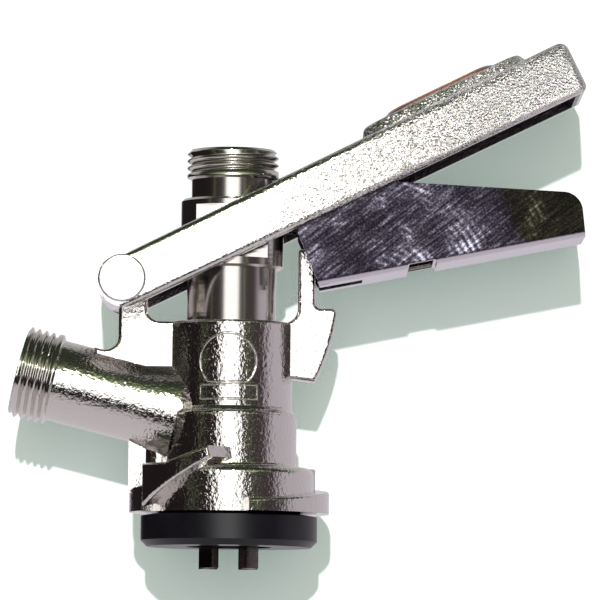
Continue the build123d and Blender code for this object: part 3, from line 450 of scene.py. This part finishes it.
pin_steel = ground_metal("ground_pin_steel", "#D2CECC", "#F2F0EE", 0.16, 0.9)
spring_wire = ground_metal("drawn_spring_wire", "#6E6864", "#A8A29C", 0.22, 0.5)
shaded_nose_steel = ground_metal("nose_steel_painted_shade", "#4A4241", "#6C6361", 0.2, 0.6)
rim_brass = ground_metal("badge_rim_brass", "#5C4630", "#93805C", 0.35, 0.5)
enamel, tree, shader = new_material("badge_enamel", Roughness=0.18, IOR=1.5, Coat_Weight=0.6)
place = add_node(tree, "ShaderNodeTexCoord").outputs["Object"]
firing = add_node(tree, "ShaderNodeTexNoise", {"Vector": place, "Scale": per_mm(FIRING), "Detail": 3.0})
tint = add_node(
    tree, "ShaderNodeValToRGB", {"Fac": firing.outputs["Fac"]}, stops=[(0.3, "#6E1016"), (0.8, "#8C1B22")]
)
tree.links.new(tint.outputs["Color"], shader.inputs["Base Color"])
print("material:", enamel.name)

FINISHES = {
    "cast_plating": cast_plating,
    "lever_plating": lever_plating,
    "latch_steel": latch_sheet,
    "badge_enamel": enamel,
    "seal_rubber": seal_rubber,
    "washer_rubber": washer_rubber,
    "check_rubber": check_rubber,
    "acetal": acetal,
    "stainless": turned_stainless,
    "pin_steel": pin_steel,
    "spring_steel": spring_wire,
}
print("finishes:", len(FINISHES))


# %% [markdown]
# ## Painting the parts
# The record names a finish for every part of the CAD model, so one loop paints them all. The
# nose has the probe's finish there, and gets a darker one, painted shade, after the loop. A
# second helper turns finished bmesh work into an object, which the next pieces need.

# %% Paint and mesh helpers
def paint(piece, material):
    """Gives a piece one finish all over."""
    piece.data.materials.clear()
    piece.data.materials.append(material)


def to_object(name, work):
    """Turns finished bmesh work into a linked object, with its faces looking out."""
    bmesh.ops.recalc_face_normals(work, faces=work.faces)
    mesh = bpy.data.meshes.new(name)
    work.to_mesh(mesh)
    work.free()
    piece = bpy.data.objects.new(name, mesh)
    bpy.context.collection.objects.link(piece)
    return piece


for subpart in frame["record"]["subparts"]:
    paint(nodes[subpart["node"]], FINISHES[subpart["material_slot"]])
# painted shade: the nose is painted darker than the probe
paint(nodes["probe_nose"], shaded_nose_steel)

# %% [markdown]
# ## Cutting the threads
# Both connections are G 5/8: 14 threads an inch, 1.16 mm deep, with rounded crests and roots.
# The CAD has plain cylinders over the crests. A stack of rings would be simpler but would have
# no lead, and that shows where a thread runs out. So a copy of each part gets its thread here:
# a long ribbon of plain triangular section is wound into a helix and taken away with a
# boolean, as a tool would cut it.

# %% Thread cutter
THREAD_R = 11.455
PITCH = 25.4 / 14
THREAD_DEPTH = 1.16
GROOVE_WIDTH = 1.5
CUTTER_PROUD = 0.18
STEPS = 56  # sections in each turn


def thread_cutter(foot, axis, start, end):
    """A helical ridge about that axis, from start to end along it, in millimetres."""
    turn = Vector((0, 0, 1)).rotation_difference(axis).to_matrix()
    widen = 1 + CUTTER_PROUD / THREAD_DEPTH
    corners = [
        (THREAD_R - THREAD_DEPTH, 0),
        (THREAD_R + CUTTER_PROUD, GROOVE_WIDTH / 2 * widen),
        (THREAD_R + CUTTER_PROUD, -GROOVE_WIDTH / 2 * widen),
    ]
    work = bmesh.new()
    rings = []
    count = int((end - start) / PITCH * STEPS)
    for i in range(count + 1):
        angle = math.tau * i / STEPS
        rise = start + PITCH * i / STEPS
        rings.append(
            [
                work.verts.new(
                    foot + turn @ Vector((r * math.cos(angle), r * math.sin(angle), rise + up)) * MM
                )
                for r, up in corners
            ]
        )
    for ring, following in zip(rings, rings[1:]):
        for k in range(3):
            work.faces.new([ring[k], ring[k - 1], following[k - 1], following[k]])
    work.faces.new(rings[0])
    work.faces.new(reversed(rings[-1]))
    return to_object("thread_cutter", work)


print("thread depth:", THREAD_DEPTH, "mm, pitch:", round(PITCH, 3), "mm")


# %% [markdown]
# ## Copies that keep the CAD's smooth light
# A boolean makes new faces, and their shading would break the reflections on the faces that it
# left alone. So each copy takes the exact normals of the CAD part wherever a face is unchanged.
# The pipe's thickened root is lit like the pipe, as a casting has no edge there.

# %% Helpers for the copies
ROOT_START, ROOT_END, ROOT_R = 12.0, 24.1, 9.9
ROOT_SLOPES = (0.1, 0.35)  # how far the root's faces lean along the pipe
ROOT_FACING = 0.9  # and how squarely they look outwards
SAME_FACE = 0.999  # how closely a face has to match one of the CAD part's
CUT_EDGE = math.radians(28)


def bake_modifiers(piece):
    """Applies a piece's modifiers to its mesh."""
    graph = bpy.context.evaluated_depsgraph_get()
    mesh = bpy.data.meshes.new_from_object(piece.evaluated_get(graph))
    piece.modifiers.clear()
    piece.data = mesh


def spot(point):
    """A key for a place in space, to a thousandth of a millimetre."""
    return tuple(round(c * 1e6) for c in point)


def keep_normals(piece, source):
    """Gives the uncut faces of a copy the exact normals of the CAD part."""
    known = {}
    corners = source.data.corner_normals
    for face in source.data.polygons:
        for loop in face.loop_indices:
            key = spot(source.data.vertices[source.data.loops[loop].vertex_index].co)
            known.setdefault(key, []).append((face.normal.copy(), corners[loop].vector.copy()))
    mesh = piece.data
    normals = [corner.vector.copy() for corner in mesh.corner_normals]
    kept = 0
    for face in mesh.polygons:
        for loop in face.loop_indices:
            choices = known.get(spot(mesh.vertices[mesh.loops[loop].vertex_index].co))
            if choices:
                flat, smooth = max(choices, key=lambda pair: pair[0].dot(face.normal))
                if flat.dot(face.normal) > SAME_FACE:
                    normals[loop] = smooth
                    kept += 1
    mesh.normals_split_custom_set(normals)
    print("normals kept:", kept, "of", len(normals))


def straighten_root(piece):
    """Lights the pipe's thickened root like the pipe, so that reflections run on into the body."""
    mesh = piece.data
    normals = [corner.vector.copy() for corner in mesh.corner_normals]
    changed = 0
    for face in mesh.polygons:
        from_foot = face.center - inlet_foot
        along = from_foot.dot(inlet_dir)
        radial = from_foot - inlet_dir * along
        on_root = ROOT_START * MM < along < ROOT_END * MM and radial.length > ROOT_R * MM
        outward = face.normal.dot(radial.normalized()) > ROOT_FACING
        leaning = ROOT_SLOPES[0] < face.normal.dot(inlet_dir) < ROOT_SLOPES[1]
        if on_root and outward and leaning:
            for loop in face.loop_indices:
                spoke = mesh.vertices[mesh.loops[loop].vertex_index].co - inlet_foot
                normals[loop] = (spoke - inlet_dir * spoke.dot(inlet_dir)).normalized()
                changed += 1
    mesh.normals_split_custom_set(normals)
    print("root corners turned:", changed)


def cut_copy(name, node, cutter, body, slot):
    """A copy of a CAD part with that cutter taken out of it."""
    source = nodes[node]
    piece = bpy.data.objects.new(name, source.data.copy())
    bpy.context.collection.objects.link(piece)
    cut = piece.modifiers.new("cut", "BOOLEAN")
    cut.operation = "DIFFERENCE"
    cut.solver = "EXACT"
    cut.object = cutter
    bake_modifiers(piece)
    bpy.data.objects.remove(cutter)
    piece.data.shade_smooth()
    piece.data.set_sharp_from_angle(angle=CUT_EDGE)
    keep_normals(piece, source)
    paint(piece, FINISHES[slot])
    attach(piece, body)
    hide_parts(node)
    print(name, "faces:", len(piece.data.polygons))
    return piece


# %% Cut both threads
PROBE_TOP = 99.3
PROBE_THREAD_LENGTH = 7.1
outlet_cutter = thread_cutter(
    Vector((0, 0, 0)), Vector((0, 0, 1)), PROBE_TOP - PROBE_THREAD_LENGTH + PITCH / 3, PROBE_TOP + PITCH
)
cut_copy("threaded_probe", "probe_body", outlet_cutter, "probe", "stainless")
inlet_cutter = thread_cutter(
    inlet_foot, inlet_dir, INLET_LENGTH - INLET_THREAD + PITCH / 3, INLET_LENGTH + PITCH
)
body_piece = cut_copy("plated_body", "body_casting", inlet_cutter, "coupler", "cast_plating")
straighten_root(body_piece)

# %% [markdown]
# ## The step round the barrel
# The core box leaves a soft step where the barrel stands on the waist. A bevel would give it
# one plain round, but it is a swept cove, so a short profile is turned round the axis.

# %% Waist step
WAIST_STEP = [
    (15.0, 32.5),
    (16.62, 32.5),
    (16.56, 32.95),
    (16.3, 33.3),
    (15.9, 33.6),
    (15.62, 34.0),
    (15.45, 34.6),
    (15.0, 35.0),
]
TURN_STEPS = 160
COVE_EDGE = math.radians(40)


def turned_ring(name, profile, body, slot):
    """A closed profile of (radius, height) points in millimetres, turned round the probe's axis."""
    work = bmesh.new()
    loops = []
    for i in range(TURN_STEPS):
        angle = math.tau * i / TURN_STEPS
        loops.append(
            [work.verts.new(Vector((r * math.cos(angle), r * math.sin(angle), z)) * MM) for r, z in profile]
        )
    for i, loop in enumerate(loops):
        following = loops[(i + 1) % TURN_STEPS]
        for k in range(len(profile)):
            work.faces.new([loop[k - 1], following[k - 1], following[k], loop[k]])
    ring = to_object(name, work)
    ring.data.shade_smooth()
    ring.data.set_sharp_from_angle(angle=COVE_EDGE)
    paint(ring, FINISHES[slot])
    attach(ring, body)
    print(name, "faces:", len(ring.data.polygons))


turned_ring("waist_step", WAIST_STEP, "coupler", "cast_plating")

# %% [markdown]
# ## Rounding the lever's free end
# The die leaves the two upright corners of the free end well rounded. A bevel would have to
# find them among the many edges of the CAD mesh, so each is cut with a prism whose inner side
# is a quarter circle.

# %% Rounded corners
LEVER_LENGTH = 124.7
LEVER_HALF = 17.0
CORNER_R = 3.2
CORNER_STEPS = 14
CORNER_REACH = 14.0


def corner_prism():
    """Both corner waste prisms of the lever's free end, as one mesh."""
    work = bmesh.new()
    for side in (1, -1):
        section = [(LEVER_LENGTH + 1, LEVER_HALF + 1), (LEVER_LENGTH - CORNER_R, LEVER_HALF + 1)]
        for i in range(CORNER_STEPS + 1):
            turn = math.pi / 2 * (1 - i / CORNER_STEPS)
            section.append(
                (
                    LEVER_LENGTH - CORNER_R + CORNER_R * math.cos(turn),
                    LEVER_HALF - CORNER_R + CORNER_R * math.sin(turn),
                )
            )
        section.append((LEVER_LENGTH + 1, LEVER_HALF - CORNER_R))
        ends = []
        for up in (-CORNER_REACH, CORNER_REACH):
            ends.append(
                [
                    work.verts.new(HINGE + (lever_dir * t + lever_up * up + Vector((0, side * y, 0))) * MM)
                    for t, y in section
                ]
            )
        low, high = ends
        for k in range(len(section)):
            work.faces.new([low[k - 1], low[k], high[k], high[k - 1]])
        work.faces.new(low)
        work.faces.new(reversed(high))
    return to_object("corner_prism", work)


cut_copy("plated_lever", "lever_casting", corner_prism(), "lever", "lever_plating")

# %% [markdown]
# ## The spring
# The spring's bridge stays on the lever's roof while its legs follow the latch, so the wire
# between them winds up. Bones, shape keys or a blend across its coils could show that; here the
# copy keeps the CAD spring's shape, with its placement baked into its mesh.

# %% Spring copy
spring = bpy.data.objects.new("winding_spring", nodes["latch_spring"].data.copy())
bpy.context.collection.objects.link(spring)
paint(spring, spring_wire)
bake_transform(spring)
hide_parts("latch_spring")
print(spring.name, "faces:", len(spring.data.polygons))

# %% [markdown]
# ## Cast marks
# Foundries leave raised marks on the front of such bodies: a ring for the foundry's sign and
# a frame for a date. They stay empty here. Each is a thin half-round rib laid on the barrel,
# so a bevelled curve is sunk by half into the cylinder.

# %% Ribs on the barrel
BARREL_R = 15.4
RIB_R = 0.32
RING_STEPS, CHORD_STEPS, FRAME_STEPS = 48, 10, 16


def round_rod(name, points, radius, material, body):
    """A closed rod of round section along those points, all in metres."""
    curve = bpy.data.curves.new("rod_line", "CURVE")
    curve.dimensions = "3D"
    curve.bevel_depth = radius
    curve.bevel_resolution = 3
    line = curve.splines.new("POLY")
    line.points.add(len(points) - 1)
    line.use_cyclic_u = True
    for point, place in zip(line.points, points):
        point.co = (*place, 1)
    drawn = bpy.data.objects.new("rod_line", curve)
    rod = bpy.data.objects.new(name, bpy.data.meshes.new_from_object(drawn))
    bpy.data.objects.remove(drawn)
    bpy.context.collection.objects.link(rod)
    rod.data.shade_smooth()
    paint(rod, material)
    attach(rod, body)
    print(name, "faces:", len(rod.data.polygons))


def barrel_rib(name, outline):
    """A closed rib that follows an outline of (x, z) points on the front of the barrel."""
    points = [Vector((x, -math.sqrt(BARREL_R**2 - x**2), z)) * MM for x, z in outline]
    round_rod(name, points, RIB_R * MM, cast_plating, "coupler")


RING_X, RING_Z, RING_R = -0.5, 45.6, 7.0
CHORD_DROP = 5.1
chord_angle = math.degrees(math.acos(CHORD_DROP / RING_R))
sweep = [
    270 + chord_angle + (360 - 2 * chord_angle) * i / RING_STEPS for i in range(RING_STEPS + 1)
]
ring = [
    (RING_X + RING_R * math.cos(math.radians(a)), RING_Z + RING_R * math.sin(math.radians(a)))
    for a in sweep
]
chord = [
    (ring[-1][0] + (ring[0][0] - ring[-1][0]) * i / CHORD_STEPS, ring[0][1])
    for i in range(1, CHORD_STEPS)
]
barrel_rib("foundry_ring", ring + chord)

FRAME_X, FRAME_Z, FRAME_WIDTH, FRAME_HEIGHT = -0.3, 38.0, 14.0, 3.5
across = [
    FRAME_X - FRAME_WIDTH / 2 + FRAME_WIDTH * i / FRAME_STEPS for i in range(FRAME_STEPS + 1)
]
low_edge = [(x, FRAME_Z - FRAME_HEIGHT / 2) for x in across]
high_edge = [(x, FRAME_Z + FRAME_HEIGHT / 2) for x in reversed(across)]
barrel_rib("date_frame", low_edge + high_edge)

# %% [markdown]
# ## The badge's dome
# The enamel stands domed in the thumb rest, with a thin brass rim and an inlaid brass line,
# and is blank. The badge is a slot shape, so each ring of the dome follows two half circles
# joined by straights, read from the badge's own mesh. The two brass lines follow the same
# outline.

# %% Domed badge
# insets and heights in millimetres of the dome's rings, from the skirt to the top
DOME = [(0.3, -0.3), (0.3, 0.1), (0.7, 0.4), (1.5, 0.65), (2.8, 0.85), (4.4, 0.95)]
END_STEPS = 16
badge = nodes["badge_plate"]
reach = [v.co.dot(lever_dir) for v in badge.data.vertices]
height = max(v.co.dot(lever_up) for v in badge.data.vertices)
half_width = max(v.co.y for v in badge.data.vertices)
middle = lever_dir * (min(reach) + max(reach)) / 2 + lever_up * height
half_straight = (max(reach) - min(reach)) / 2 - half_width


def slot_outline(inset, lift):
    """Points round the badge's slot shape, that far inside its edge and above its face, in metres."""
    points = []
    radius = half_width - inset
    for side in (1, -1):
        for i in range(END_STEPS + 1):
            turn = math.pi * i / END_STEPS
            along = side * (half_straight + radius * math.sin(turn))
            aside = Vector((0, -side * radius * math.cos(turn), 0))
            points.append(middle + lever_dir * along + lever_up * lift + aside)
    return points


work = bmesh.new()
loops = [[work.verts.new(co) for co in slot_outline(inset * MM, lift * MM)] for inset, lift in DOME]
for loop, following in zip(loops, loops[1:]):
    for k in range(len(loop)):
        work.faces.new([loop[k - 1], loop[k], following[k], following[k - 1]])
work.faces.new(loops[-1])
work.faces.new(reversed(loops[0]))
dome = to_object("badge_dome", work)
dome.data.shade_smooth()
paint(dome, enamel)
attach(dome, "lever")
print("dome faces:", len(dome.data.polygons))
# inset, height and radius of each brass line, in millimetres
for name, inset, lift, radius in (("badge_rim", 0.25, 0.0, 0.22), ("badge_inlay", 2.0, 0.72, 0.16)):
    round_rod(name, slot_outline(inset * MM, lift * MM), radius * MM, rim_brass, "lever")

# %% [markdown]
# ## The table it lies on
# The coupler lies on its back on a white table, and the camera looks down at the table. In
# the CAD frame the probe stands up, so the table is a plane behind the part, square to Y. It
# is white where the lamp reaches it and grey-green in the shadow. From behind it is clear,
# so that the back of the part can be seen.

# %% Table
TABLE_Y = 25.4
TABLE_HALF = 600.0
SHADOW_GLOW = 0.56
corners = [
    Vector((x * TABLE_HALF, TABLE_Y, z * TABLE_HALF)) * MM for x, z in ((-1, -1), (1, -1), (1, 1), (-1, 1))
]
mesh = bpy.data.meshes.new("table")
mesh.from_pydata(corners, [], [(0, 1, 2, 3)])
table = bpy.data.objects.new("table", mesh)
bpy.context.collection.objects.link(table)
material = bpy.data.materials.new("white_table")
material.use_nodes = True
tree = material.node_tree
tree.nodes.clear()
rays = add_node(tree, "ShaderNodeLightPath")
matt = add_node(tree, "ShaderNodeBsdfDiffuse", {"Color": linear("#FFFFFF")})
glow = add_node(tree, "ShaderNodeEmission", {"Color": linear("#86A396"), "Strength": SHADOW_GLOW})
lit = add_node(tree, "ShaderNodeAddShader", {0: matt.outputs[0], 1: glow.outputs[0]})
shown = add_node(
    tree, "ShaderNodeMixShader", {0: rays.outputs["Is Camera Ray"], 1: matt.outputs[0], 2: lit.outputs[0]}
)
clear = add_node(tree, "ShaderNodeBsdfTransparent")
back = add_node(tree, "ShaderNodeNewGeometry").outputs["Backfacing"]
both = add_node(tree, "ShaderNodeMixShader", {0: back, 1: shown.outputs[0], 2: clear.outputs[0]})
add_node(tree, "ShaderNodeOutputMaterial", {"Surface": both.outputs[0]})
paint(table, material)
table.visible_glossy = False
print("table at Y", TABLE_Y, "mm")

# %% [markdown]
# ## The room that the plate mirrors
# Bright plate has no look of its own: it shows the room. This room has a broad white panel in
# front, a dark wall to the left and a pale one to the right with a thin green strip on each
# side, a green-grey ceiling and a pale floor. Area lamps could stand for its panels, but a
# painted world has soft edges and no noise. The colours run by the angle up from the front
# and, in a belt near the level, by the angle to the right. The camera itself sees white.

# %% Colours of the room
# angles in degrees up from the front, and to the right of it, each with the room's colour there
HEIGHTS = [
    (-180, "#B1ADB2"),
    (-50, "#A5A1A4"),
    (-38, "#8C888B"),
    (-33, "#1F1A1D"),
    (-15, "#221D1F"),
    (-11, "#FFFFFF"),
    (17, "#FFFFFF"),
    (22, "#C4CDA4"),
    (30, "#76845F"),
    (44, "#3C4433"),
    (62, "#262B22"),
    (104, "#2C322A"),
    (118, "#8E908B"),
    (180, "#B1ADB2"),
]
WALLS = [
    (-180, "#B1ADB2"),
    (-166, "#AAA5AC"),
    (-158, "#1D181A"),
    (-90, "#181415"),
    (-54, "#1B1617"),
    (-52.5, "#646E54"),
    (-51.5, "#646E54"),
    (-50, "#201A1B"),
    (-21, "#241D1F"),
    (-17, "#FFFFFF"),
    (17, "#FFFFFF"),
    (21, "#282223"),
    (31, "#2C2627"),
    (33, "#6E765C"),
    (34, "#6E765C"),
    (36, "#302A2B"),
    (62, "#3A3336"),
    (78, "#9A949B"),
    (166, "#AAA5AC"),
    (180, "#B1ADB2"),
]
BELT_EDGES = ((-15, -11), (20, 16))  # where the walls fade in, from below and from above
PANEL_STRENGTH = 1.6
print("room colours:", len(HEIGHTS) + len(WALLS))

# %% World
world = bpy.data.worlds.new("studio")
bpy.context.scene.world = world
world.use_nodes = True
tree = world.node_tree
tree.nodes.clear()
direction = add_node(tree, "ShaderNodeTexCoord").outputs["Generated"]
parts = add_node(tree, "ShaderNodeSeparateXYZ", {0: direction})
elevation = add_node(tree, "ShaderNodeMath", {0: parts.outputs["Z"]}, operation="ARCSINE").outputs[0]
front = add_node(tree, "ShaderNodeMath", {0: parts.outputs["Y"], 1: -1.0}, operation="MULTIPLY").outputs[0]
room = []
for axis, colours in (("Z", HEIGHTS), ("X", WALLS)):
    angle = add_node(
        tree, "ShaderNodeMath", {0: parts.outputs[axis], 1: front}, operation="ARCTAN2"
    ).outputs[0]
    place = add_node(
        tree,
        "ShaderNodeMapRange",
        {"Value": angle, "From Min": -math.pi, "From Max": math.pi, "To Min": 0.0, "To Max": 1.0},
    ).outputs["Result"]
    stops = [((degrees + 180) / 360, colour) for degrees, colour in colours]
    room.append(add_node(tree, "ShaderNodeValToRGB", {"Fac": place}, stops=stops).outputs["Color"])
by_height, by_wall = room
belt = 1.0
for outer, inner in BELT_EDGES:
    edge = add_node(
        tree,
        "ShaderNodeMapRange",
        {
            "Value": elevation,
            "From Min": math.radians(outer),
            "From Max": math.radians(inner),
            "To Min": 0.0,
            "To Max": 1.0,
        },
    ).outputs["Result"]
    belt = add_node(tree, "ShaderNodeMath", {0: edge, 1: belt}, operation="MULTIPLY").outputs[0]
room_colour = add_node(
    tree, "ShaderNodeMixRGB", {"Fac": belt, "Color1": by_height, "Color2": by_wall}
).outputs["Color"]
camera_ray = add_node(tree, "ShaderNodeLightPath").outputs["Is Camera Ray"]
mirrored = add_node(tree, "ShaderNodeBackground", {"Color": room_colour, "Strength": PANEL_STRENGTH})
seen = add_node(tree, "ShaderNodeBackground", {"Color": linear("#FFFFFF"), "Strength": 1.0})
picked = add_node(
    tree, "ShaderNodeMixShader", {0: camera_ray, 1: mirrored.outputs[0], 2: seen.outputs[0]}
)
add_node(tree, "ShaderNodeOutputWorld", {"Surface": picked.outputs[0]})
print("world:", world.name)

# %% [markdown]
# ## One lamp
# The shadow on the table is crisp and falls below the part. An area lamp would blur its edge,
# so one sun lamp shines from above the camera.

# %% Lamp
SHADOW_RUN = Vector((0.6, 25.0, -9.5))  # the way its light travels
LAMP_STRENGTH = 2.0
LAMP_WIDTH = math.radians(1.2)
lamp_data = bpy.data.lights.new("key_lamp", "SUN")
lamp_data.energy = LAMP_STRENGTH
lamp_data.angle = LAMP_WIDTH
lamp = bpy.data.objects.new("key_lamp", lamp_data)
lamp.rotation_mode = "QUATERNION"
lamp.rotation_quaternion = SHADOW_RUN.to_track_quat("-Z", "Y")
bpy.context.collection.objects.link(lamp)
print("lamp:", lamp_data.energy)

# %% [markdown]
# ## Camera
# The part is seen from the front with hardly any perspective. So a long lens stands a metre
# and a half away, a few degrees below the level of the part, and is turned by under a degree.

# %% Camera
CAMERA_TARGET = Vector((17.1, 0, 62.0)) * MM
CAMERA_DISTANCE = 1500 * MM
CAMERA_RISE = math.radians(-4.3)
CAMERA_ROLL = math.radians(0.65)
FIELD = 150 * MM
SENSOR = 36.0
camera_data = bpy.data.cameras.new("camera")
camera_data.sensor_width = SENSOR
camera_data.lens = SENSOR * CAMERA_DISTANCE / FIELD
camera = bpy.data.objects.new("camera", camera_data)
bpy.context.collection.objects.link(camera)
away = Vector((0, -math.cos(CAMERA_RISE), math.sin(CAMERA_RISE)))
camera.location = CAMERA_TARGET + away * CAMERA_DISTANCE
camera.rotation_mode = "QUATERNION"
look = (-away).to_track_quat("-Z", "Y")
camera.rotation_quaternion = look @ Matrix.Rotation(CAMERA_ROLL, 4, "Z").to_quaternion()
camera_data.clip_start, camera_data.clip_end = 0.1, 10.0
bpy.context.scene.camera = camera
bpy.context.scene.view_settings.view_transform = "Standard"
print("camera:", [round(v / MM, 1) for v in camera.location])

# %% [markdown]
# ## Update
# Threads are cut and marks are laid on, but the part has to stay as big as the CAD model. The
# last cell only brings the view layer up to date.

# %% Update the view layer
bpy.context.view_layer.update()
